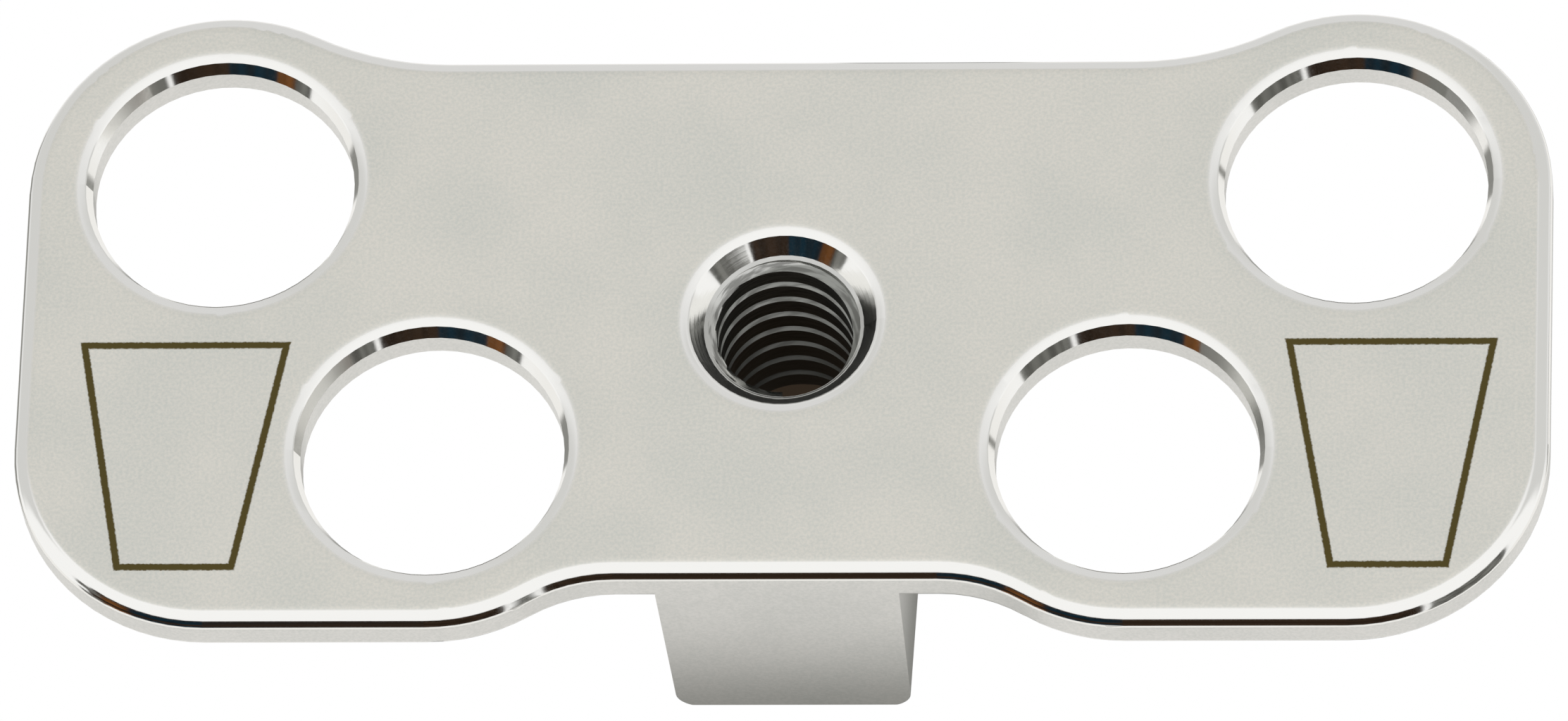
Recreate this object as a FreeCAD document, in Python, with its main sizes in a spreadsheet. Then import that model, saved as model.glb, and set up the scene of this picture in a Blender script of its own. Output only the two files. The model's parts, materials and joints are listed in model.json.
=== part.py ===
import FreeCAD, Part
import math
import os
from enum import IntEnum

import Sketcher
from FreeCAD import Vector

# Orthopedic bone plate for an opening wedge cut, made from one piece of metal.
# A flat waisted plate has four screw holes with dished and countersunk rims. A tapered spacer
# tooth hangs under its waist and fills the wedge in the bone. A threaded hole for the holding
# tool runs down through the plate and the tooth.
# The part stands on the tooth's end face. The origin is the middle of that face, +Z is up,
# +X runs along the plate and the end of the plate with the closer pair of holes is at -Y.
# Lengths are in millimetres and angles in degrees.

SIZES = {
    # plate outline, seen from above
    "plate_length": 40.0,
    "plate_depth": 17.8,
    "plate_thickness": 1.4,
    "waist_depth": 15.08,
    "far_lobe_radius": 5.15,
    "near_lobe_radius": 5.1,
    "corner_radius": 5.18,
    "far_blend_radius": 8.0,
    "near_blend_radius": 4.2,
    # polished roundings along the outline
    "top_round": 0.45,
    "underside_round": 0.3,
    # rims of all the holes
    "rim_dish_radius": 1.2,
    "rim_dish_tilt": 16.0,
    "rim_break_width": 0.04,
    "rim_break_tilt": 35.0,
    # screw holes
    "far_hole_end_margin": 5.13,
    "hole_side_margin": 5.01,
    "near_hole_spacing": 18.1,
    "screw_hole_diameter": 6.9,
    "countersink_depth": 0.45,
    "countersink_tilt": 69.0,
    "hole_exit_chamfer": 0.2,
    # spacer tooth
    "tooth_height": 6.6,
    "tooth_front_width": 6.35,
    "tooth_back_width": 7.5,
    "tooth_side_draft": 0.8,
    "tooth_end_round": 0.75,
    "tooth_edge_round": 0.12,
    # threaded hole
    "thread_hole_setback": 0.13,
    "thread_diameter": 4.0,
    "thread_mouth_diameter": 4.19,
    "thread_mouth_depth": 0.51,
    "thread_mouth_tilt": 51.0,
    "thread_lead_tilt": 35.0,
    "thread_exit_chamfer": 0.3,
}

TINY = 1e-6


class Pick(IntEnum):
    """The numbers by which a sketch names a piece's points, and its own axes."""
    START = 1
    END = 2
    CENTRE = 3
    H_AXIS = -1
    V_AXIS = -2


START, END, CENTRE, H_AXIS, V_AXIS = Pick
ORIGIN_POINT = (H_AXIS, START)


def make_sheet(doc):
    """Keep each size in a cell whose alias is its name."""
    sheet = doc.addObject("Spreadsheet::Sheet", "sizes")
    for row, (name, value) in enumerate(SIZES.items(), start=1):
        sheet.set("A%d" % row, name)
        sheet.set("B%d" % row, str(value))
        sheet.setAlias("B%d" % row, name)
    doc.recompute()
    return sheet


def origin_plane(body, role):
    """Return one of the body's own origin planes."""
    return next(plane for plane in body.Origin.OriginFeatures if plane.Role == role)


class Chain:
    """A closed run of lines and arcs in one sketch, with its sizes bound to the sheet."""

    def __init__(self, body, name, plane_role, offsets=None):
        self.sketch = body.newObject("Sketcher::SketchObject", name)
        self.sketch.AttachmentSupport = [(origin_plane(body, plane_role), "")]
        self.sketch.MapMode = "FlatFace"
        for direction, expression in (offsets or {}).items():
            self.sketch.setExpression("AttachmentOffset.Base." + direction, expression)
        self.ends = []

    def line(self, start, end):
        index = self.sketch.addGeometry(Part.LineSegment(Vector(*start), Vector(*end)), False)
        self.ends.append((index, START, END))
        return index

    def arc(self, centre, radius, first, last):
        """Add an arc that runs from the first angle to the last, in degrees."""
        circle = Part.Circle(Vector(*centre), Vector(0, 0, 1), radius)
        low, high = math.radians(min(first, last)), math.radians(max(first, last))
        index = self.sketch.addGeometry(Part.ArcOfCircle(circle, low, high), False)
        self.ends.append((index, START, END) if last > first else (index, END, START))
        return index

    def fix(self, kind, *items):
        return self.sketch.addConstraint(Sketcher.Constraint(kind, *items))

    def join(self, sharp=()):
        """Join each piece to the next, smoothly except after the pieces named as sharp."""
        following = self.ends[1:] + self.ends[:1]
        for (index, _, end), (after, start, _) in zip(self.ends, following):
            kind = "Coincident" if index in sharp else "Tangent"
            self.fix(kind, index, end, after, start)

    def size(self, kind, items, value, expression):
        """Add a dimension, with its value tied to the sheet."""
        index = self.fix(kind, *items, value)
        self.sketch.setExpression("Constraints[%d]" % index, expression)

    def radius(self, index, value, expression):
        self.size("Radius", (index,), value, expression)

    def across(self, point, value, expression):
        """Dimension a point's distance from the sketch's vertical axis."""
        self.size("DistanceX", (*ORIGIN_POINT, *point), value, expression)

    def above(self, point, value, expression):
        """Dimension a point's height above the sketch's origin."""
        self.size("DistanceY", (*ORIGIN_POINT, *point), value, expression)


def blend_offset(lobe_radius, blend_radius, lobe_height, blend_height):
    """Return how far a blend's centre lies to the side of the lobe's centre that it touches."""
    reach = lobe_radius + blend_radius
    rise = blend_height - lobe_height
    return math.sqrt(reach * reach - rise * rise)


def draw_half_outline(body):
    """Draw the plate's outline on the +X side of the middle plane."""
    size = SIZES
    half_length = size["plate_length"] / 2
    half_depth = size["plate_depth"] / 2
    half_waist = size["waist_depth"] / 2
    near_lobe_x = size["near_hole_spacing"] / 2
    far_radius, near_radius = size["far_lobe_radius"], size["near_lobe_radius"]
    far_blend, near_blend = size["far_blend_radius"], size["near_blend_radius"]
    corner = size["corner_radius"]

    far_lobe = (half_length - far_radius, half_depth - far_radius)
    far_blend_y = half_waist + far_blend
    far_blend_x = far_lobe[0] - blend_offset(far_radius, far_blend, far_lobe[1], far_blend_y)
    far_turn = math.degrees(math.atan2(far_lobe[1] - far_blend_y, far_lobe[0] - far_blend_x))
    near_lobe = (near_lobe_x, near_radius - half_depth)
    near_blend_y = -half_waist - near_blend
    near_blend_x = near_lobe_x - blend_offset(near_radius, near_blend, near_lobe[1], near_blend_y)
    near_turn = math.degrees(math.atan2(near_lobe[1] - near_blend_y, near_lobe[0] - near_blend_x))

    chain = Chain(body, "half_outline", "XY_Plane", {"z": "sizes.tooth_height"})
    far_waist = chain.line((0, half_waist, 0), (far_blend_x, half_waist, 0))
    far_concave = chain.arc((far_blend_x, far_blend_y, 0), far_blend, -90, far_turn)
    far_round = chain.arc((*far_lobe, 0), far_radius, 180 + far_turn, 0)
    side = chain.line((half_length, far_lobe[1], 0), (half_length, corner - half_depth, 0))
    near_corner = chain.arc((half_length - corner, corner - half_depth, 0), corner, 0, -90)
    near_end = chain.line((half_length - corner, -half_depth, 0), (near_lobe_x, -half_depth, 0))
    near_round = chain.arc((*near_lobe, 0), near_radius, -90, near_turn - 180)
    near_concave = chain.arc((near_blend_x, near_blend_y, 0), near_blend, near_turn, 90)
    near_waist = chain.line((near_blend_x, -half_waist, 0), (0, -half_waist, 0))
    middle = chain.line((0, -half_waist, 0), (0, half_waist, 0))
    chain.join(sharp=(near_waist, middle))

    for level in (far_waist, near_end, near_waist):
        chain.fix("Horizontal", level)
    for upright in (side, middle):
        chain.fix("Vertical", upright)
    chain.fix("PointOnObject", middle, START, V_AXIS)
    chain.above((far_waist, START), half_waist, "sizes.waist_depth / 2")
    chain.above((near_waist, END), -half_waist, "-sizes.waist_depth / 2")
    chain.above((near_end, START), -half_depth, "-sizes.plate_depth / 2")
    chain.above((far_round, CENTRE), far_lobe[1], "sizes.plate_depth / 2 - sizes.far_lobe_radius")
    chain.across((side, START), half_length, "sizes.plate_length / 2")
    chain.across((near_round, CENTRE), near_lobe_x, "sizes.near_hole_spacing / 2")
    chain.radius(far_concave, far_blend, "sizes.far_blend_radius")
    chain.radius(far_round, far_radius, "sizes.far_lobe_radius")
    chain.radius(near_corner, corner, "sizes.corner_radius")
    chain.radius(near_round, near_radius, "sizes.near_lobe_radius")
    chain.radius(near_concave, near_blend, "sizes.near_blend_radius")
    return chain.sketch


def level_edges(shape, height):
    """Return the names of the edges that lie wholly at one height."""
    names = []
    for number, edge in enumerate(shape.Edges, start=1):
        box = edge.BoundBox
        if abs(box.ZMin - height) < TINY and abs(box.ZMax - height) < TINY:
            names.append("Edge%d" % number)
    return names


def add_fillet(body, name, base, edges, expression):
    fillet = body.newObject("PartDesign::Fillet", name)
    fillet.Base = (base, edges)
    fillet.setExpression("Radius", expression)
    body.Document.recompute()
    return fillet


def mirror_sides(body, name, features):
    """Repeat features on the other side of the middle plane."""
    mirrored = body.newObject("PartDesign::Mirrored", name)
    mirrored.Originals = features
    mirrored.MirrorPlane = (origin_plane(body, "YZ_Plane"), [""])
    body.Tip = mirrored
    body.Document.recompute()
    return mirrored


def add_plate(body):
    """Add the flat plate, with its outline rounded above and below."""
    pad = body.newObject("PartDesign::Pad", "plate_half")
    pad.Profile = draw_half_outline(body)
    pad.setExpression("Length", "sizes.plate_thickness")
    body.Document.recompute()
    plate = mirror_sides(body, "plate", [pad])
    underside = SIZES["tooth_height"]
    top = underside + SIZES["plate_thickness"]
    rounded = add_fillet(body, "top_rounding", plate, level_edges(plate.Shape, top),
                         "sizes.top_round")
    add_fillet(body, "underside_rounding", rounded, level_edges(rounded.Shape, underside),
               "sizes.underside_round")


def add_tooth(body):
    """Add the tooth, flush with both waist edges, wider at the far side and narrower at its end."""
    size = SIZES
    half_waist = size["waist_depth"] / 2
    front, back = size["tooth_front_width"] / 2, size["tooth_back_width"] / 2
    # it starts above the rounding of the plate's underside, so that its walls run into the plate
    root = "sizes.tooth_height + sizes.underside_round"

    chain = Chain(body, "half_tooth_profile", "XY_Plane", {"z": root})
    near = chain.line((0, -half_waist, 0), (front, -half_waist, 0))
    flank = chain.line((front, -half_waist, 0), (back, half_waist, 0))
    far = chain.line((back, half_waist, 0), (0, half_waist, 0))
    middle = chain.line((0, half_waist, 0), (0, -half_waist, 0))
    chain.join(sharp=(near, flank, far, middle))
    for level in (near, far):
        chain.fix("Horizontal", level)
    chain.fix("Vertical", middle)
    chain.fix("PointOnObject", middle, START, V_AXIS)
    chain.above((near, START), -half_waist, "-sizes.waist_depth / 2")
    chain.above((far, START), half_waist, "sizes.waist_depth / 2")
    chain.across((near, END), front, "sizes.tooth_front_width / 2")
    chain.across((far, START), back, "sizes.tooth_back_width / 2")

    # each half is pushed down and inwards, which tilts its flank and keeps its other walls upright
    half = body.newObject("PartDesign::Pad", "tooth_half")
    half.Profile = chain.sketch
    half.UseCustomVector = True
    half.AlongSketchNormal = True
    half.Direction = Vector(-math.tan(math.radians(size["tooth_side_draft"])), 0, -1)
    half.setExpression("Direction.x", "-tan(sizes.tooth_side_draft * 1 deg)")
    half.setExpression("Length", root)
    body.Document.recompute()
    return mirror_sides(body, "tooth", [half])


def round_tooth(body, tooth):
    """Round the two long edges of the tooth's end."""
    half_waist = SIZES["waist_depth"] / 2
    long_edges = []
    for number, edge in enumerate(tooth.Shape.Edges, start=1):
        box = edge.BoundBox
        if box.ZMax < TINY and box.YLength > half_waist:
            long_edges.append("Edge%d" % number)
    add_fillet(body, "tooth_end_rounding", tooth, long_edges, "sizes.tooth_end_round")


def break_tooth_edge(body, name, side):
    """Round the level edge of the tooth's end on the near side (-1) or on the far side (1)."""
    flank = side * SIZES["waist_depth"] / 2
    rounding = SIZES["tooth_edge_round"]
    inner = flank - side * rounding
    upright = 90 - side * 90
    sign = "-" if side < 0 else ""

    chain = Chain(body, name + "_profile", "YZ_Plane")
    edge_arc = chain.arc((inner, rounding, 0), rounding, upright, upright - side * 90)
    end_face = chain.line((inner, 0, 0), (flank, 0, 0))
    wall = chain.line((flank, 0, 0), (flank, rounding, 0))
    chain.join(sharp=(end_face,))
    chain.fix("Horizontal", end_face)
    chain.fix("Vertical", wall)
    chain.fix("PointOnObject", wall, START, H_AXIS)
    chain.across((wall, START), flank, sign + "sizes.waist_depth / 2")
    chain.radius(edge_arc, rounding, "sizes.tooth_edge_round")

    pocket = body.newObject("PartDesign::Pocket", name)
    pocket.Profile = chain.sketch
    pocket.Type = "ThroughAll"
    pocket.SideType = "Symmetric"
    return finish_cut(pocket)


def finish_cut(feature):
    """Recompute a cut and stop if it took nothing away."""
    feature.Document.recompute()
    if not feature.Shape.Volume < feature.BaseFeature.Shape.Volume:
        raise RuntimeError(feature.Name + " cuts nothing")
    return feature


def cut_turned(body, name, chain):
    """Cut a turned profile out of the body about the profile's own upright axis."""
    groove = body.newObject("PartDesign::Groove", name)
    groove.Profile = chain.sketch
    groove.ReferenceAxis = (chain.sketch, ["V_Axis"])
    groove.Angle = 360
    return finish_cut(groove)


def draw_rim(chain, diameter_name, depth_name, tilt_name):
    """Draw the rim that all the holes share: a shallow dish, a broken edge and a countersink."""
    size = SIZES
    foot_radius, foot_depth = size[diameter_name] / 2, size[depth_name]
    top = size["tooth_height"] + size["plate_thickness"]
    dish, dish_tilt = size["rim_dish_radius"], math.radians(size["rim_dish_tilt"])
    rim, rim_tilt = size["rim_break_width"], math.radians(size["rim_break_tilt"])
    sink_tilt = math.radians(size[tilt_name])

    # the profile runs inwards and down, so its points are worked out from its foot up to the face
    foot = (foot_radius, top - foot_depth, 0)
    dish_drop = dish * (1 - math.cos(dish_tilt))
    sink_drop = foot_depth - dish_drop - rim * math.sin(rim_tilt)
    sink_top = (foot_radius + sink_drop / math.tan(sink_tilt), foot[1] + sink_drop, 0)
    rim_top = (sink_top[0] + rim * math.cos(rim_tilt), top - dish_drop, 0)
    dish_x = rim_top[0] + dish * math.sin(dish_tilt)

    face = chain.line((0, top, 0), (dish_x, top, 0))
    dish_arc = chain.arc((dish_x, top - dish, 0), dish, 90, 90 + size["rim_dish_tilt"])
    rim_break = chain.line(rim_top, sink_top)
    sink = chain.line(sink_top, foot)
    chain.fix("Horizontal", face)
    chain.above((face, START), top, "sizes.tooth_height + sizes.plate_thickness")
    chain.across((sink, END), foot_radius, "sizes.%s / 2" % diameter_name)
    chain.above((sink, END), foot[1],
                "sizes.tooth_height + sizes.plate_thickness - sizes." + depth_name)
    chain.radius(dish_arc, dish, "sizes.rim_dish_radius")
    chain.size("Angle", (dish_arc,), dish_tilt, "sizes.rim_dish_tilt * 1 deg")
    chain.size("Distance", (rim_break,), rim, "sizes.rim_break_width")
    chain.size("Angle", (face, END, rim_break, START), rim_tilt, "sizes.rim_break_tilt * 1 deg")
    chain.size("Angle", (face, END, sink, START), sink_tilt, "sizes.%s * 1 deg" % tilt_name)
    return foot, face


def close_hole(chain, face, wall_top, wall_expression, bottom, bottom_expression, chamfer_name):
    """Draw a hole's straight wall, the chamfer at its far end and its axis, and close the profile."""
    radius = wall_top[0]
    chamfer = SIZES[chamfer_name]
    wall_end = (radius, bottom + chamfer, 0)
    exit_end = (radius + chamfer, bottom, 0)
    wall = chain.line(wall_top, wall_end)
    exit_cone = chain.line(wall_end, exit_end)
    below = chain.line(exit_end, (0, bottom, 0))
    axis = chain.line((0, bottom, 0), (0, SIZES["tooth_height"] + SIZES["plate_thickness"], 0))
    chain.join(sharp=[index for index, _, _ in chain.ends if index != face])
    chain.fix("Horizontal", below)
    for upright in (wall, axis):
        chain.fix("Vertical", upright)
    if bottom:
        chain.fix("PointOnObject", axis, START, V_AXIS)
        chain.above((axis, START), bottom, bottom_expression)
    else:
        chain.fix("Coincident", axis, START, *ORIGIN_POINT)
    chain.above((wall, END), wall_end[1], "%s + sizes.%s" % (bottom_expression, chamfer_name))
    chain.across((exit_cone, END), exit_end[0],
                 "%s + sizes.%s" % (wall_expression, chamfer_name))
    return wall


def cut_screw_hole(body, name, along, down):
    """Cut a screw hole through the plate, with a straight land under its rim."""
    chain = Chain(body, name + "_profile", "XZ_Plane", {"x": along, "z": down})
    foot, face = draw_rim(chain, "screw_hole_diameter", "countersink_depth", "countersink_tilt")
    close_hole(chain, face, foot, "sizes.screw_hole_diameter / 2",
               SIZES["tooth_height"], "sizes.tooth_height", "hole_exit_chamfer")
    return cut_turned(body, name, chain)


def cut_thread_hole(body):
    """Cut the threaded hole to the thread's outer diameter, through the plate and the tooth."""
    radius = SIZES["thread_diameter"] / 2
    mouth = SIZES["thread_mouth_diameter"] / 2
    lead_tilt = math.radians(SIZES["thread_lead_tilt"])
    radius_expression = "sizes.thread_diameter / 2"
    chain = Chain(body, "thread_hole_profile", "XZ_Plane", {"z": "sizes.thread_hole_setback"})
    foot, face = draw_rim(chain, "thread_mouth_diameter", "thread_mouth_depth",
                          "thread_mouth_tilt")
    wall_top = (radius, foot[1] - (mouth - radius) * math.tan(lead_tilt), 0)
    lead_in = chain.line(foot, wall_top)
    wall = close_hole(chain, face, wall_top, radius_expression, 0, "0", "thread_exit_chamfer")
    chain.across((wall, START), radius, radius_expression)
    chain.size("Angle", (face, END, lead_in, START), lead_tilt, "sizes.thread_lead_tilt * 1 deg")
    return cut_turned(body, "thread_hole", chain)


def check_document(doc, body):
    """Stop if any object failed or the finished solid isn't whole."""
    for thing in doc.Objects:
        if "Invalid" in thing.State or "Error" in thing.State:
            raise RuntimeError("%s is in the state %s" % (thing.Label, thing.State))
    shape = body.Shape
    if shape.isNull() or not shape.isValid() or len(shape.Solids) != 1:
        raise RuntimeError(body.Label + " isn't one valid solid")


def main():
    doc = FreeCAD.newDocument("bone_plate")
    make_sheet(doc)
    body = doc.addObject("PartDesign::Body", "bone_plate")
    body.Label = "bone_plate"
    add_plate(body)
    round_tooth(body, add_tooth(body))
    break_tooth_edge(body, "near_edge_break", -1)
    break_tooth_edge(body, "far_edge_break", 1)
    # the holes are drawn on a plane that faces -Y, so the far row's offset is the negative one
    row = "(sizes.plate_depth / 2 - sizes.hole_side_margin)"
    holes = [
        cut_screw_hole(body, "far_screw_hole",
                       "sizes.plate_length / 2 - sizes.far_hole_end_margin", "-" + row),
        cut_screw_hole(body, "near_screw_hole", "sizes.near_hole_spacing / 2", row),
    ]
    mirror_sides(body, "screw_holes", holes)
    cut_thread_hole(body)
    doc.recompute()
    check_document(doc, body)
    os.makedirs("parts", exist_ok=True)
    body.Shape.exportStep("parts/%s.step" % body.Label)
    box = body.Shape.optimalBoundingBox(False, False)
    print("%s: %.3f x %.3f x %.3f mm, %.1f cubic mm, %d faces" % (
        body.Label, box.XLength, box.YLength, box.ZLength, body.Shape.Volume, len(body.Shape.Faces)))


main()
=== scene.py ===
"""Dresses the bone plate's CAD frame: its finish, its thread and the studio that it is shown in."""

import json
import math
from typing import NamedTuple

import bmesh
import bpy
from mathutils import Matrix, Vector


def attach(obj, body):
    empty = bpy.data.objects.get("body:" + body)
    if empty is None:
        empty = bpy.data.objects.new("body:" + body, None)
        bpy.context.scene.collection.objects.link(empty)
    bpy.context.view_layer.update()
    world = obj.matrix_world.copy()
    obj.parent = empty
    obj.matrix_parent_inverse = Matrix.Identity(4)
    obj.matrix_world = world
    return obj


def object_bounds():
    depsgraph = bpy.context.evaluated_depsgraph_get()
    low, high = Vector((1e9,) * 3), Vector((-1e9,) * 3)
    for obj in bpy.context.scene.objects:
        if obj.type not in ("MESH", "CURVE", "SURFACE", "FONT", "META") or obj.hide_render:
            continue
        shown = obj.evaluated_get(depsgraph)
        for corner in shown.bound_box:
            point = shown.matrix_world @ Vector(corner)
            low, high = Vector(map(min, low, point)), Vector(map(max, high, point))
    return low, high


bl_info = {
    "name": "Bone Plate Dressing",
    "version": (1, 0, 0),
    "blender": (4, 5, 0),
    "location": "View3D > Sidebar > Bone Plate",
    "description": "Metal finish, holding thread and studio for a waisted bone plate",
    "category": "Object",
}

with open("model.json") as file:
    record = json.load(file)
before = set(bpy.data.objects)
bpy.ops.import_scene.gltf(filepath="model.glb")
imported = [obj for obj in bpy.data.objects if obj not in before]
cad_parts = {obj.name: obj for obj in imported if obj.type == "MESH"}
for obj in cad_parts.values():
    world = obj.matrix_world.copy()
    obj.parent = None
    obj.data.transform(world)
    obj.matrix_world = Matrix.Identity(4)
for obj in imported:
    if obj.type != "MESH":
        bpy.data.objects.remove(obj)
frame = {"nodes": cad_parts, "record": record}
CAD_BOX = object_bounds()
BOTTOM, TOP = CAD_BOX[0][2], CAD_BOX[1][2]
PLATE = "bone_plate"
MM = 0.001
HOLE_X, HOLE_Y = next(mount["pos_m"][:2] for mount in frame["record"]["mounts"]
                      if mount["name"] == "holding_thread")


# Sizes and colours that a user would change

def length(name, description, default):
    """A length property, given in millimetres and kept in metres."""
    return bpy.props.FloatProperty(
        name=name, description=description, default=default * MM, min=0.0,
        subtype="DISTANCE", unit="LENGTH", precision=5)


def angle(name, description, default):
    """An angle property, given in degrees."""
    return bpy.props.FloatProperty(
        name=name, description=description, default=math.radians(default), subtype="ANGLE")


def share(name, description, default):
    """A plain number from 0 to 1."""
    return bpy.props.FloatProperty(
        name=name, description=description, default=default, min=0.0, max=1.0, subtype="FACTOR")


def colour(name, description, default):
    """A colour property, in linear values."""
    return bpy.props.FloatVectorProperty(
        name=name, description=description, default=default, size=3, min=0.0, max=1.0,
        subtype="COLOR")


class BonePlateFinish(bpy.types.PropertyGroup):
    """The metal of the plate and the marks on its outer face."""

    face_tint: colour("Face", "Colour of the fine matt outer face", (0.815, 0.788, 0.722))
    shade_tint: colour("Face shade", "Cooler tone in the matt outer face", (0.67, 0.68, 0.635))
    face_roughness: share("Face roughness", "Roughness of the fine matt face", 0.42)
    polish_tint: colour("Polish", "Colour of the polished edges and rims", (0.90, 0.895, 0.87))
    polish_roughness: share("Polish roughness", "Roughness of the polished edges and rims", 0.10)
    wall_tint: colour("Walls", "Colour of the satin side walls", (0.76, 0.75, 0.725))
    wall_shade: colour("Wall shade", "Cooler tone in the satin side walls", (0.65, 0.655, 0.63))
    wall_roughness: share("Wall roughness", "Roughness of the satin walls", 0.32)
    lead_tint: colour("Lead-in", "Colour of the thread's lead-in", (0.58, 0.58, 0.56))
    lead_roughness: share("Lead-in roughness", "Roughness of the thread's lead-in", 0.14)
    # The cut colour is the metal darkened well below the plate's, a painted shade for the inside of
    # the hole.
    shaded_cut_tint: colour("Cut", "Colour of the thread's cut surfaces", (0.31, 0.315, 0.295))
    # The cut shade colours the turning marks and also the painted shade that darkens the thread
    # down the hole.
    turning_and_depth_shade: colour("Cut shade", "Darker turning marks in the thread", (0.13, 0.13, 0.12))
    cut_roughness: share("Cut roughness", "Roughness of the thread's cut surfaces", 0.38)
    mark_tint: colour("Marks", "Colour of the laser marked outlines", (0.100, 0.078, 0.026))
    mark_width: length("Mark width", "Width of a laser marked line", 0.19)
    mark_spread: length("Mark spread", "From the middle line to each mark's centre", 15.74)
    mark_shift: length("Mark shift", "How far both marks lie to the right", 0.135)
    mark_top: length("Mark top", "From the middle row to a mark's upper line", 0.86)
    mark_bottom: length("Mark bottom", "From the middle row to a mark's lower line", 7.28)
    mark_top_half: length("Mark half top", "Half the length of a mark's upper line", 2.65)
    mark_bottom_half: length("Mark half bottom", "Half the length of a mark's lower line", 1.49)


class BonePlateThread(bpy.types.PropertyGroup):
    """The turned thread for the holding tool."""

    pitch: length("Pitch", "Rise of one turn", 0.865)
    root_radius: length("Root radius", "Radius at the bottom of the groove", 2.0)
    crest_radius: length("Crest radius", "Radius of the flat crest", 1.78)
    crest_width: length("Crest width", "Width of the flat crest", 0.60)
    start_depth: length("Start depth", "From the face to the groove on the near side", 0.2525)
    lead_tilt: angle("Lead-in tilt", "Tilt of the lead-in cone from the level", 35.0)
    lead_depth: length("Lead-in depth", "From the plate's face to the lead-in's edge", 0.5765)
    exit_chamfer: length("Exit chamfer", "Size of the chamfer at the far end", 0.3)
    steps: bpy.props.IntProperty(
        name="Steps", description="Steps in one turn", default=96, min=24, max=240)


class BonePlateStudio(bpy.types.PropertyGroup):
    """The camera, the floor and the light."""

    distance: length("Camera distance", "From the camera to the plate's middle", 420.0)
    elevation: angle("Elevation", "Camera's height over the horizon", 63.237)
    azimuth: angle("Azimuth", "Camera's turn towards the plate's right end", 9.842)
    roll: angle("Roll", "Camera's roll", -9.0)
    lens: bpy.props.FloatProperty(
        name="Lens", description="Focal length", default=370.14, min=1.0, unit="CAMERA")
    floor_tint: colour("Floor", "Colour of the floor and of the light above", (1.0, 1.0, 1.0))
    sky_strength: bpy.props.FloatProperty(
        name="Sky", description="Strength of the even studio light", default=1.0, min=0.0)
    back_tint: colour("Back light", "Colour of the light from behind", (0.74, 0.74, 0.74))
    table_tint: colour("Table", "Colour that the light takes from the table", (0.93, 0.92, 0.90))
    side_tint: colour("Side light", "Colour of the light from both sides", (0.69, 0.69, 0.68))
    fold_tint: colour("Folds", "Darkest folds of the room in front", (0.008, 0.006, 0.004))
    brown_tint: colour("Brown cloth", "Brown part of the room in front", (0.034, 0.020, 0.012))
    blue_tint: colour("Blue cloth", "Blue part of the room in front", (0.005, 0.022, 0.036))
    amber_tint: colour("Amber cloth", "Amber part of the room in front", (0.17, 0.064, 0.016))
    # The grey cloth colour is also the colour of the painted contact shadow on the floor.
    grey_cloth_and_shade_tint: colour("Grey cloth", "Grey ends of the room in front", (0.19, 0.19, 0.175))
    # The hole shade is painted shade: a dark glowing disc on the floor under the threaded hole.
    hole_shade_tint: colour("Hole shade", "Colour of the floor under the hole", (0.030, 0.021, 0.014))
    shade_half: length("Shade half width", "From the middle to the tooth's side", 3.5)
    shade_reach: length("Shade reach", "From the middle to the tooth's front", 7.54)


# Node maths

class Wire:
    """A shader socket that can be used in a Python expression."""

    def __init__(self, tree, socket):
        self.tree = tree
        self.socket = socket

    def maths(self, operation, *others):
        """Add a Math node with this wire as its first value."""
        node = self.tree.nodes.new("ShaderNodeMath")
        node.operation = operation
        for slot, value in zip(node.inputs, (self, *others)):
            plug(self.tree, value, slot)
        return Wire(self.tree, node.outputs[0])

    def __add__(self, other):
        return self.maths("ADD", other)

    __radd__ = __add__

    def __sub__(self, other):
        return self.maths("SUBTRACT", other)

    def __rsub__(self, other):
        return self.maths("MULTIPLY_ADD", -1.0, other)

    def __mul__(self, other):
        return self.maths("MULTIPLY", other)

    __rmul__ = __mul__

    def __neg__(self):
        return self.maths("MULTIPLY", -1.0)

    def __abs__(self):
        return self.maths("ABSOLUTE")

    def larger(self, other):
        """The larger of two values."""
        return self.maths("MAXIMUM", other)

    def rise(self, low, high):
        """Rise smoothly from 0 at low to 1 at high."""
        node = self.tree.nodes.new("ShaderNodeMapRange")
        node.interpolation_type = "SMOOTHSTEP"
        for slot, value in zip(node.inputs, (self, low, high, 0.0, 1.0)):
            plug(self.tree, value, slot)
        return Wire(self.tree, node.outputs[0])

    def within(self, low, high, soft):
        """Mask of the values between low and high, with soft ends."""
        return self.rise(low - soft, low + soft) * (1 - self.rise(high - soft, high + soft))


def plug(tree, value, slot):
    """Link a wire to a socket, or set the socket to a plain value."""
    if isinstance(value, Wire):
        tree.links.new(value.socket, slot)
    else:
        slot.default_value = value


def opaque(value):
    """Give a plain colour its alpha; leave a wire as it is."""
    return value if isinstance(value, Wire) else (*value, 1.0)


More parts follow.
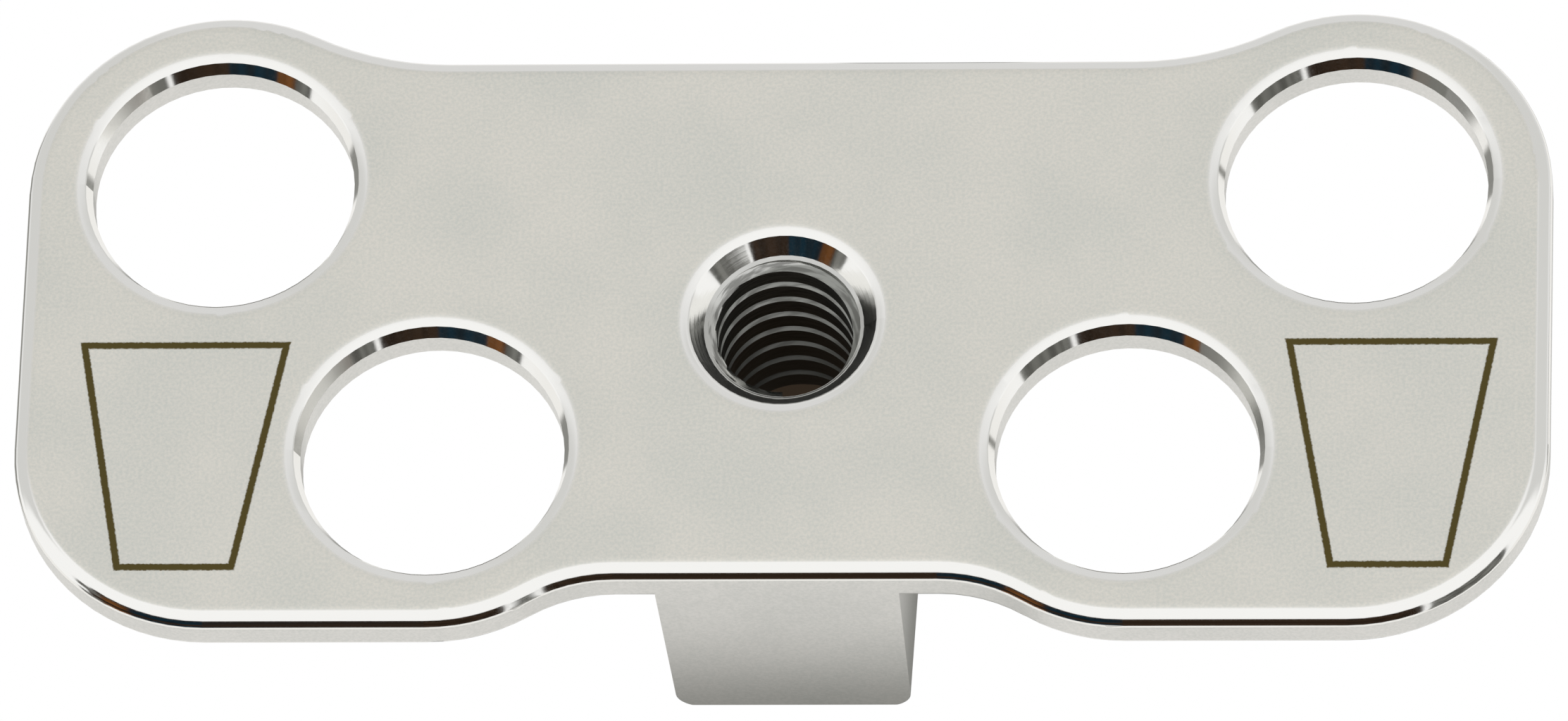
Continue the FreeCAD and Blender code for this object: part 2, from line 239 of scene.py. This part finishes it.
class Shader:
    """A node tree under construction."""

    def __init__(self, tree):
        self.tree = tree
        tree.nodes.clear()

    def node(self, kind, settings=None, **values):
        """Add a node, set its settings first and then its sockets, and return it."""
        node = self.tree.nodes.new("ShaderNode" + kind)
        for name, value in (settings or {}).items():
            setattr(node, name, value)
        for name, value in values.items():
            plug(self.tree, value, node.inputs[name.replace("_", " ")])
        return node

    def wire(self, node, output=0):
        """The wire that leaves a node."""
        return Wire(self.tree, node.outputs[output])

    def place(self):
        """The place on the piece, in its own coordinates."""
        return self.wire(self.node("TexCoord"), "Object")

    def split(self, vector):
        """The three parts of a vector."""
        node = self.node("SeparateXYZ", None, Vector=vector)
        return [self.wire(node, axis) for axis in "XYZ"]

    def blend(self, factor, first, second):
        """Mix two colours."""
        node = self.tree.nodes.new("ShaderNodeMix")
        node.data_type = "RGBA"
        plug(self.tree, factor, node.inputs["Factor"])
        for slot, value in zip(node.inputs[6:8], (first, second)):
            plug(self.tree, opaque(value), slot)
        return Wire(self.tree, node.outputs[2])

    def noise(self, place, scale, detail=2.0, roughness=0.5):
        """A noise pattern, from 0 to 1."""
        node = self.node("TexNoise", None, Vector=place, Scale=scale, Detail=detail,
                         Roughness=roughness)
        return self.wire(node)

    def finish(self, closure, kind="OutputMaterial"):
        """Link the closing shader to the tree's output."""
        output = self.node(kind)
        plug(self.tree, self.wire(closure), output.inputs["Surface"])


def new_material(name):
    """An empty material, and the shader that fills it."""
    material = bpy.data.materials.new(name)
    material.use_nodes = True
    return material, Shader(material.node_tree)


# The finish: where one surface gives way to the next, and each pattern's fineness and strength

FACE_EDGE = (TOP - 0.012 * MM, TOP - 0.0005 * MM)
WALL_SLOPE = (0.12, 0.22)
BORE_EDGE = (2.085 * MM, 2.1 * MM)
MOUTH_EDGE = (2.5 * MM, 2.54 * MM)
NEAR_HALF = (-0.4 * MM, 1.2 * MM)
SOFT_EDGE = 0.3 * MM

GRAIN_SCALE = 12000.0
CLOUD_SCALE = 260.0
RING_SCALE = 14000.0
SPECK_EDGE = (0.3, 0.7)
GRAIN_SHARE = 0.65

GRAIN_ROUGHNESS = 0.10
CLOUD_ROUGHNESS = 0.04
NEAR_ROUGHNESS = 0.12

RELIEF_HEIGHT = 0.002 * MM
FACE_RELIEF = 0.12
METAL_RELIEF = 0.02
RING_RELIEF = 0.7
NEAR_RING_RELIEF = 5.0

MARK_EDGE = (0.38, 0.62)
MARK_UNEVEN = 0.4


def trapezoid_line(across, up, grain, look):
    """Mask of the two laser marked trapezoids' outlines, with slightly uneven edges."""
    slope = look.mark_top_half - look.mark_bottom_half
    height = look.mark_bottom - look.mark_top
    slant = math.hypot(slope, height)
    sideways = abs(abs(across - look.mark_shift) - look.mark_spread) - look.mark_top_half
    flank = (sideways * height - (up + look.mark_top) * slope) * (1 / slant)
    above = up + look.mark_top
    below = -up - look.mark_bottom
    uneven = (grain - 0.5) * (look.mark_width * MARK_UNEVEN)
    distance = abs(flank.larger(above).larger(below)) + uneven
    return 1 - distance.rise(*(look.mark_width * part for part in MARK_EDGE))


def plate_metal(look):
    """One metal: a fine matt outer face, satin walls, and polished edges, rims and holes."""
    material, shader = new_material("plate_metal")
    place = shader.place()
    across, up, height = shader.split(place)
    normal = shader.wire(shader.node("NewGeometry"), "True Normal")
    upright = abs(shader.split(normal)[2])
    flat = shader.node("CombineXYZ", None, X=across, Y=up - HOLE_Y)
    out = shader.node("VectorMath", {"operation": "LENGTH"}, Vector=shader.wire(flat))
    radius = shader.wire(out, "Value")

    on_face = height.rise(*FACE_EDGE)
    on_wall = 1 - upright.rise(*WALL_SLOPE)
    in_bore = 1 - radius.rise(*BORE_EDGE)
    in_mouth = 1 - radius.rise(*MOUTH_EDGE)
    near_half = (HOLE_Y - up).rise(*NEAR_HALF) * in_mouth

    grain = shader.noise(place, GRAIN_SCALE, detail=3.0, roughness=0.6)
    cloud = shader.noise(place, CLOUD_SCALE, detail=3.0, roughness=0.55)
    rings = shader.noise(shader.wire(shader.node("CombineXYZ", None, X=radius)), RING_SCALE)
    speck = grain.rise(*SPECK_EDGE) * GRAIN_SHARE + cloud.rise(*SPECK_EDGE) * (1 - GRAIN_SHARE)

    walls = shader.blend(speck, look.wall_tint, look.wall_shade)
    face = shader.blend(speck, look.face_tint, look.shade_tint)
    tint = shader.blend(on_wall, look.polish_tint, walls)
    tint = shader.blend(in_bore, tint, look.lead_tint)
    tint = shader.blend(on_face, tint, face)
    marks = trapezoid_line(across, up, grain, look) * on_face
    tint = shader.blend(marks, tint, look.mark_tint)

    roughness = look.polish_roughness + on_wall * (look.wall_roughness - look.polish_roughness)
    roughness = roughness + in_bore * (look.lead_roughness - roughness)
    roughness = roughness + near_half * NEAR_ROUGHNESS
    roughness = roughness + on_face * (look.face_roughness - roughness)
    roughness = roughness + (grain - 0.5) * GRAIN_ROUGHNESS + (cloud - 0.5) * CLOUD_ROUGHNESS

    relief = grain * (FACE_RELIEF * on_face + METAL_RELIEF)
    relief = relief + rings * (in_mouth * RING_RELIEF + near_half * NEAR_RING_RELIEF)
    edge = shader.node("Bevel", {"samples": 6}, Radius=on_face * SOFT_EDGE)
    bump = shader.node("Bump", None, Strength=1.0, Distance=RELIEF_HEIGHT, Height=relief,
                       Normal=shader.wire(edge))
    shader.finish(shader.node("BsdfPrincipled", None, Base_Color=tint, Roughness=roughness,
                              Metallic=1.0, Normal=shader.wire(bump)))
    return material


class BONEPLATE_OT_finish(bpy.types.Operator):
    """Give the plate its metal finish"""

    bl_idname = "boneplate.finish"
    bl_label = "Plate Finish"

    def execute(self, context):
        plate = frame["nodes"][PLATE]
        metal = plate_metal(context.scene.bone_plate_finish)
        for slot in plate.material_slots:
            slot.link = "OBJECT"
            slot.material = metal
        return {"FINISHED"}


# The thread: how its section stands in the wall, and its turning marks

WALL_BITE = 0.08 * MM
FLANK_BITE = 0.005 * MM
TRIM_BITE = 0.03 * MM
FLANK_ROWS = 3
CREST_ROWS = 12
SHARP_ANGLE = math.radians(25)

LEAD_EDGE = (TOP - 0.75 * MM, TOP - 0.72 * MM)
# The painted shade's span of heights down the thread, and how dark it gets
DEPTH_SHADE_SPAN = (BOTTOM + 1.0 * MM, TOP - 0.4 * MM)
DEPTH_SHADE_SHARE = 0.9
TURNING_SCALE = 1400.0
TURNING_STRETCH = (1.0, 1.0, 12.0)
TURNING_EDGE = (0.42, 0.62)
TURNING_SHARE = 0.75
TURNING_ROUGHNESS = 0.12


def thread_profile(sizes):
    """Corners of one turn's closed section, as radius and depth under the turn's start."""
    flank = (sizes.pitch - sizes.crest_width) / 2
    crest = sizes.crest_radius
    back = sizes.root_radius + WALL_BITE
    foot = sizes.root_radius + FLANK_BITE
    climb = [step / FLANK_ROWS for step in range(1, FLANK_ROWS)]
    corners = [(back, 0.0), (foot, 0.0)]
    corners += [(foot + (crest - foot) * part, flank * part) for part in climb]
    corners += [(crest, flank + sizes.crest_width * row / CREST_ROWS)
                for row in range(CREST_ROWS + 1)]
    corners += [(crest + (foot - crest) * part, sizes.pitch - flank + flank * part)
                for part in climb]
    corners += [(foot, sizes.pitch), (back, sizes.pitch)]
    return corners


def build_thread(sizes):
    """Wind the thread's section down the hole and trim it to the lead-in and the exit."""
    top = TOP - sizes.lead_depth
    bottom = BOTTOM + sizes.exit_chamfer
    start = TOP - sizes.start_depth
    turns = math.ceil((start - bottom) / sizes.pitch)
    bm = bmesh.new()
    ring = [bm.verts.new((0.0, -radius, start - depth))
            for radius, depth in thread_profile(sizes)]
    face = bm.faces.new(ring)
    # a right-hand thread goes down as it turns clockwise, seen from above
    bmesh.ops.spin(
        bm, geom=[face, *face.edges, *face.verts], cent=(0, 0, 0), axis=(0, 0, 1),
        dvec=(0, 0, -sizes.pitch / sizes.steps), angle=-2 * math.pi * turns,
        steps=sizes.steps * turns, use_duplicate=False)
    for corner in bm.verts:
        radius = math.hypot(corner.co.x, corner.co.y)
        lead = sizes.root_radius + (corner.co.z - top) / math.tan(sizes.lead_tilt)
        leave = sizes.root_radius + bottom - corner.co.z
        least = min(max(lead, leave), sizes.root_radius + TRIM_BITE)
        if radius < least:
            corner.co.xy *= least / radius
    for height, way in ((top, 1), (bottom, -1)):
        cut = bmesh.ops.bisect_plane(
            bm, geom=[*bm.verts, *bm.edges, *bm.faces], plane_co=(0, 0, height),
            plane_no=(0, 0, way), clear_outer=True)
        rim = [item for item in cut["geom_cut"] if isinstance(item, bmesh.types.BMEdge)]
        bmesh.ops.holes_fill(bm, edges=rim)
    bmesh.ops.recalc_face_normals(bm, faces=bm.faces)
    bmesh.ops.translate(bm, verts=bm.verts, vec=(HOLE_X, HOLE_Y, 0))
    return bm


def thread_metal(look):
    """The thread's metal: a bright lead-in, and turned flanks in a painted shade that grows darker
    down the hole.
    """
    material, shader = new_material("thread_metal")
    place = shader.place()
    stretch = shader.node("Mapping", None, Vector=place, Scale=TURNING_STRETCH)
    turning = shader.noise(shader.wire(stretch), TURNING_SCALE)
    height = shader.split(place)[2]
    on_lead = height.rise(*LEAD_EDGE)
    painted_depth_shade = 1 - height.rise(*DEPTH_SHADE_SPAN)

    # Painted shade: the cut surfaces darken towards the bottom of the hole.
    tint = shader.blend(painted_depth_shade * DEPTH_SHADE_SHARE, look.shaded_cut_tint, look.turning_and_depth_shade)
    tint = shader.blend(on_lead, tint, look.lead_tint)
    tint = shader.blend(turning.rise(*TURNING_EDGE) * TURNING_SHARE, tint, look.turning_and_depth_shade)
    roughness = look.cut_roughness + on_lead * (look.lead_roughness - look.cut_roughness)
    roughness = roughness + (turning - 0.5) * TURNING_ROUGHNESS
    shader.finish(shader.node("BsdfPrincipled", None, Base_Color=tint, Roughness=roughness,
                              Metallic=1.0))
    return material


class BONEPLATE_OT_thread(bpy.types.Operator):
    """Wind the thread for the holding tool"""

    bl_idname = "boneplate.thread"
    bl_label = "Holding Thread"

    def execute(self, context):
        bm = build_thread(context.scene.bone_plate_thread)
        mesh = bpy.data.meshes.new("holding_thread")
        bm.to_mesh(mesh)
        bm.free()
        mesh.shade_smooth()
        mesh.set_sharp_from_angle(angle=SHARP_ANGLE)
        thread = bpy.data.objects.new("holding_thread", mesh)
        context.scene.collection.objects.link(thread)
        mesh.materials.append(thread_metal(context.scene.bone_plate_finish))
        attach(thread, "root")
        return {"FINISHED"}


# The room that the polish mirrors

class Patch(NamedTuple):
    """A part of the room, between two bearings and two heights, with soft ends.

    A bearing is in degrees from straight in front, to the right. A height is the upward part of
    the direction, from -1 below to 1 above.
    """

    left: float
    right: float
    low: float
    high: float
    soft_turn: float = 1.0
    soft_height: float = 0.03


CLOTHS = (
    ("grey_cloth_and_shade_tint", Patch(left=34, right=72.5, low=-0.60, high=0.25)),
    ("brown_tint", Patch(left=-57, right=30.5, low=-0.50, high=0.38)),
    ("blue_tint", Patch(left=-39.5, right=-7, low=-0.47, high=-0.31)),
    ("blue_tint", Patch(left=-39.5, right=-7, low=-0.10, high=0.30)),
    ("amber_tint", Patch(left=-52, right=-38.5, low=-0.50, high=-0.34)),
    ("amber_tint", Patch(left=-52, right=-38.5, low=-0.10, high=0.24)),
    ("grey_cloth_and_shade_tint", Patch(left=-63, right=-51, low=-0.56, high=-0.34)),
    ("grey_cloth_and_shade_tint", Patch(left=-63, right=-51, low=-0.10, high=0.20)),
)
FOLD_SPREAD = 0.12
FOLD_RISE = 5.0
FOLD_EDGE = (0.38, 0.62)
FOLD_SHARE = 0.6

SIDES = Patch(left=98, right=162, low=-0.20, high=0.82, soft_turn=5.0, soft_height=0.05)
LEFT_STREAK = Patch(left=-138, right=-108, low=-0.80, high=-0.46, soft_turn=3.0, soft_height=0.05)
RIGHT_STREAK = Patch(left=116, right=121, low=-0.72, high=-0.46, soft_turn=1.5, soft_height=0.04)
STREAK_SHARE = 0.9

BACK_EDGE = (0.12, 0.62)
TABLE_EDGE = (-0.56, -0.44)
LOW_BEHIND = (-0.84, -0.76)
BEHIND = (145, 165)
BEHIND_SHARE = 0.85


def room_light(world, studio):
    """White light from above, dimmer at the back, the sides and below, and cloths in front."""
    world.use_nodes = True
    sky = Shader(world.node_tree)
    east, north, height = sky.split(sky.wire(sky.node("TexCoord")))
    bearing = east.maths("ARCTAN2", -north) * math.degrees(1)

    def mask(patch, turn=bearing):
        return (turn.within(patch.left, patch.right, patch.soft_turn)
                * height.within(patch.low, patch.high, patch.soft_height))

    tint = sky.blend(north.rise(*BACK_EDGE), studio.floor_tint, studio.back_tint)
    tint = sky.blend(height.rise(*TABLE_EDGE), studio.table_tint, tint)
    tint = sky.blend(mask(SIDES, abs(bearing)), tint, studio.side_tint)

    place = sky.node("CombineXYZ", None, X=bearing * FOLD_SPREAD, Y=height * FOLD_RISE)
    fold = sky.noise(sky.wire(place), 1.0).rise(*FOLD_EDGE) * FOLD_SHARE
    for cloth, patch in CLOTHS:
        folded = sky.blend(fold, getattr(studio, cloth), studio.fold_tint)
        tint = sky.blend(mask(patch), tint, folded)

    streak = mask(LEFT_STREAK) + mask(RIGHT_STREAK)
    tint = sky.blend(streak * STREAK_SHARE, tint, studio.grey_cloth_and_shade_tint)
    behind = (1 - height.rise(*LOW_BEHIND)) * abs(bearing).rise(*BEHIND)
    tint = sky.blend(behind * BEHIND_SHARE, tint, studio.grey_cloth_and_shade_tint)
    sky.finish(sky.node("Background", None, Color=tint, Strength=studio.sky_strength),
               "OutputWorld")


# The floor: half sizes, and how far each card lies under the tooth

FLOOR_HALF = 2.0
FLOOR_DROP = 0.05 * MM
SHADE_HALF = 20 * MM
SHADE_DROP = 0.04 * MM
HOLE_SHADE_RADIUS = 2.6 * MM
HOLE_SHADE_DROP = 0.02 * MM

# The painted contact shadow on the floor, measured sideways from the tooth's side and forwards from
# its front

FLANK_FADE = (0.8 * MM, 2.6 * MM)
FLANK_STOP = (-0.3 * MM, 0.3 * MM)
FLANK_SIDE = (0.0, 1.0 * MM)
FLANK_SHARE = 0.9
FRONT_START = (-0.6 * MM, -0.2 * MM)
FRONT_FADE = (-0.2 * MM, 3.6 * MM)
FRONT_WIDTH = (0.0, 2.0 * MM)
FRONT_SHARE = 0.8


def glow(name, tint):
    """A material that only gives light."""
    material, shader = new_material(name)
    shader.finish(shader.node("Emission", None, Color=opaque(tint)))
    return material


def contact_shade(studio):
    """Painted contact shadow on the floor beside the tooth on the right and in front of it, clear
    elsewhere.
    """
    material, shader = new_material("contact_shade")
    across, up, _ = shader.split(shader.place())
    beside = abs(across) - studio.shade_half
    before = -up - studio.shade_reach
    flank = (1 - beside.rise(*FLANK_FADE)) * (1 - before.rise(*FLANK_STOP))
    flank = flank * across.rise(*FLANK_SIDE)
    front = (1 - before.rise(*FRONT_FADE)) * (1 - beside.rise(*FRONT_WIDTH))
    front = front * before.rise(*FRONT_START)
    dark = (flank * FLANK_SHARE).larger(front * FRONT_SHARE)
    clear = shader.node("BsdfTransparent")
    # The painted contact shadow: a grey glow that only reflections see.
    painted_shadow = shader.node("Emission", None, Color=opaque(studio.grey_cloth_and_shade_tint))
    mix = shader.node("MixShader", None, Fac=dark)
    for slot, part in zip(mix.inputs[1:], (clear, painted_shadow)):
        plug(shader.tree, shader.wire(part), slot)
    shader.finish(mix)
    return material


def card(half, drop):
    """A level square card that lies under the tooth."""
    bm = bmesh.new()
    bmesh.ops.create_grid(bm, x_segments=1, y_segments=1, size=half)
    bmesh.ops.translate(bm, verts=bm.verts, vec=(0, 0, BOTTOM - drop))
    return bm


def stage_piece(name, bm, material):
    """Put a stage mesh in the scene."""
    mesh = bpy.data.meshes.new(name)
    bm.to_mesh(mesh)
    bm.free()
    mesh.materials.append(material)
    piece = bpy.data.objects.new(name, mesh)
    bpy.context.scene.collection.objects.link(piece)
    piece.visible_shadow = False
    return piece


def lay_floor(studio):
    """A floor for the camera alone, a painted contact shadow for reflections alone, and a dark disc
    of painted shade under the hole.
    """
    floor = stage_piece("floor", card(FLOOR_HALF, FLOOR_DROP),
                        glow("pale_floor", studio.floor_tint))
    floor.visible_diffuse = False
    floor.visible_glossy = False

    shade = stage_piece("contact_shade", card(SHADE_HALF, SHADE_DROP), contact_shade(studio))
    shade.visible_camera = False
    shade.visible_diffuse = False

    # A dark disc of painted shade under the threaded hole.
    bm = bmesh.new()
    bmesh.ops.create_circle(bm, cap_ends=True, segments=48, radius=HOLE_SHADE_RADIUS)
    bmesh.ops.translate(bm, verts=bm.verts, vec=(HOLE_X, HOLE_Y, BOTTOM - HOLE_SHADE_DROP))
    stage_piece("hole_shade", bm, glow("hole_shade", studio.hole_shade_tint))


# The camera: how far it aims beside the middle of the outer face

AIM_RIGHT = 0.034 * MM
AIM_DOWN = 1.216 * MM


def place_camera(scene, studio):
    """Stand the camera where the photograph was taken from."""
    rise, turn, roll = studio.elevation, studio.azimuth, studio.roll
    back = Vector((math.sin(turn) * math.cos(rise), -math.cos(turn) * math.cos(rise),
                   math.sin(rise)))
    level = Vector((math.cos(turn), math.sin(turn), 0.0))
    upward = back.cross(level)
    right = math.cos(roll) * level + math.sin(roll) * upward
    up = -math.sin(roll) * level + math.cos(roll) * upward
    target = Vector((0.0, 0.0, TOP)) + AIM_RIGHT * right - AIM_DOWN * up
    turned = Matrix((right, up, back)).transposed()
    camera = bpy.data.cameras.new("camera")
    camera.lens = studio.lens
    camera.sensor_fit = "HORIZONTAL"
    camera.sensor_width = 36.0
    camera.clip_start = 0.01
    holder = bpy.data.objects.new("camera", camera)
    holder.matrix_world = Matrix.Translation(target + studio.distance * back) @ turned.to_4x4()
    scene.collection.objects.link(holder)
    scene.camera = holder


class BONEPLATE_OT_studio(bpy.types.Operator):
    """Set up the camera, the pale floor and the even studio light"""

    bl_idname = "boneplate.studio"
    bl_label = "Studio"

    def execute(self, context):
        scene = context.scene
        studio = scene.bone_plate_studio
        place_camera(scene, studio)

        scene.view_settings.view_transform = "Standard"
        scene.world = bpy.data.worlds.new("studio")
        room_light(scene.world, studio)
        lay_floor(studio)
        return {"FINISHED"}


class BONEPLATE_PT_sidebar(bpy.types.Panel):
    """Lists the plate's sizes, colours and pieces"""

    bl_label = "Bone Plate"
    bl_idname = "BONEPLATE_PT_sidebar"
    bl_space_type = "VIEW_3D"
    bl_region_type = "UI"
    bl_category = "Bone Plate"

    def draw(self, context):
        scene = context.scene
        for operator, group in (("boneplate.finish", scene.bone_plate_finish),
                                ("boneplate.thread", scene.bone_plate_thread),
                                ("boneplate.studio", scene.bone_plate_studio)):
            box = self.layout.box()
            box.operator(operator)
            for name in group.__annotations__:
                box.prop(group, name)


GROUPS = {
    "bone_plate_finish": BonePlateFinish,
    "bone_plate_thread": BonePlateThread,
    "bone_plate_studio": BonePlateStudio,
}
CLASSES = (*GROUPS.values(), BONEPLATE_OT_finish, BONEPLATE_OT_thread, BONEPLATE_OT_studio,
           BONEPLATE_PT_sidebar)


def register():
    for part in CLASSES:
        bpy.utils.register_class(part)
    for name, group in GROUPS.items():
        setattr(bpy.types.Scene, name, bpy.props.PointerProperty(type=group))


def unregister():
    for name in GROUPS:
        delattr(bpy.types.Scene, name)
    for part in reversed(CLASSES):
        bpy.utils.unregister_class(part)


def main():
    register()
    bpy.ops.boneplate.studio()
    bpy.ops.boneplate.finish()
    bpy.ops.boneplate.thread()


if __name__ == "__main__":
    main()
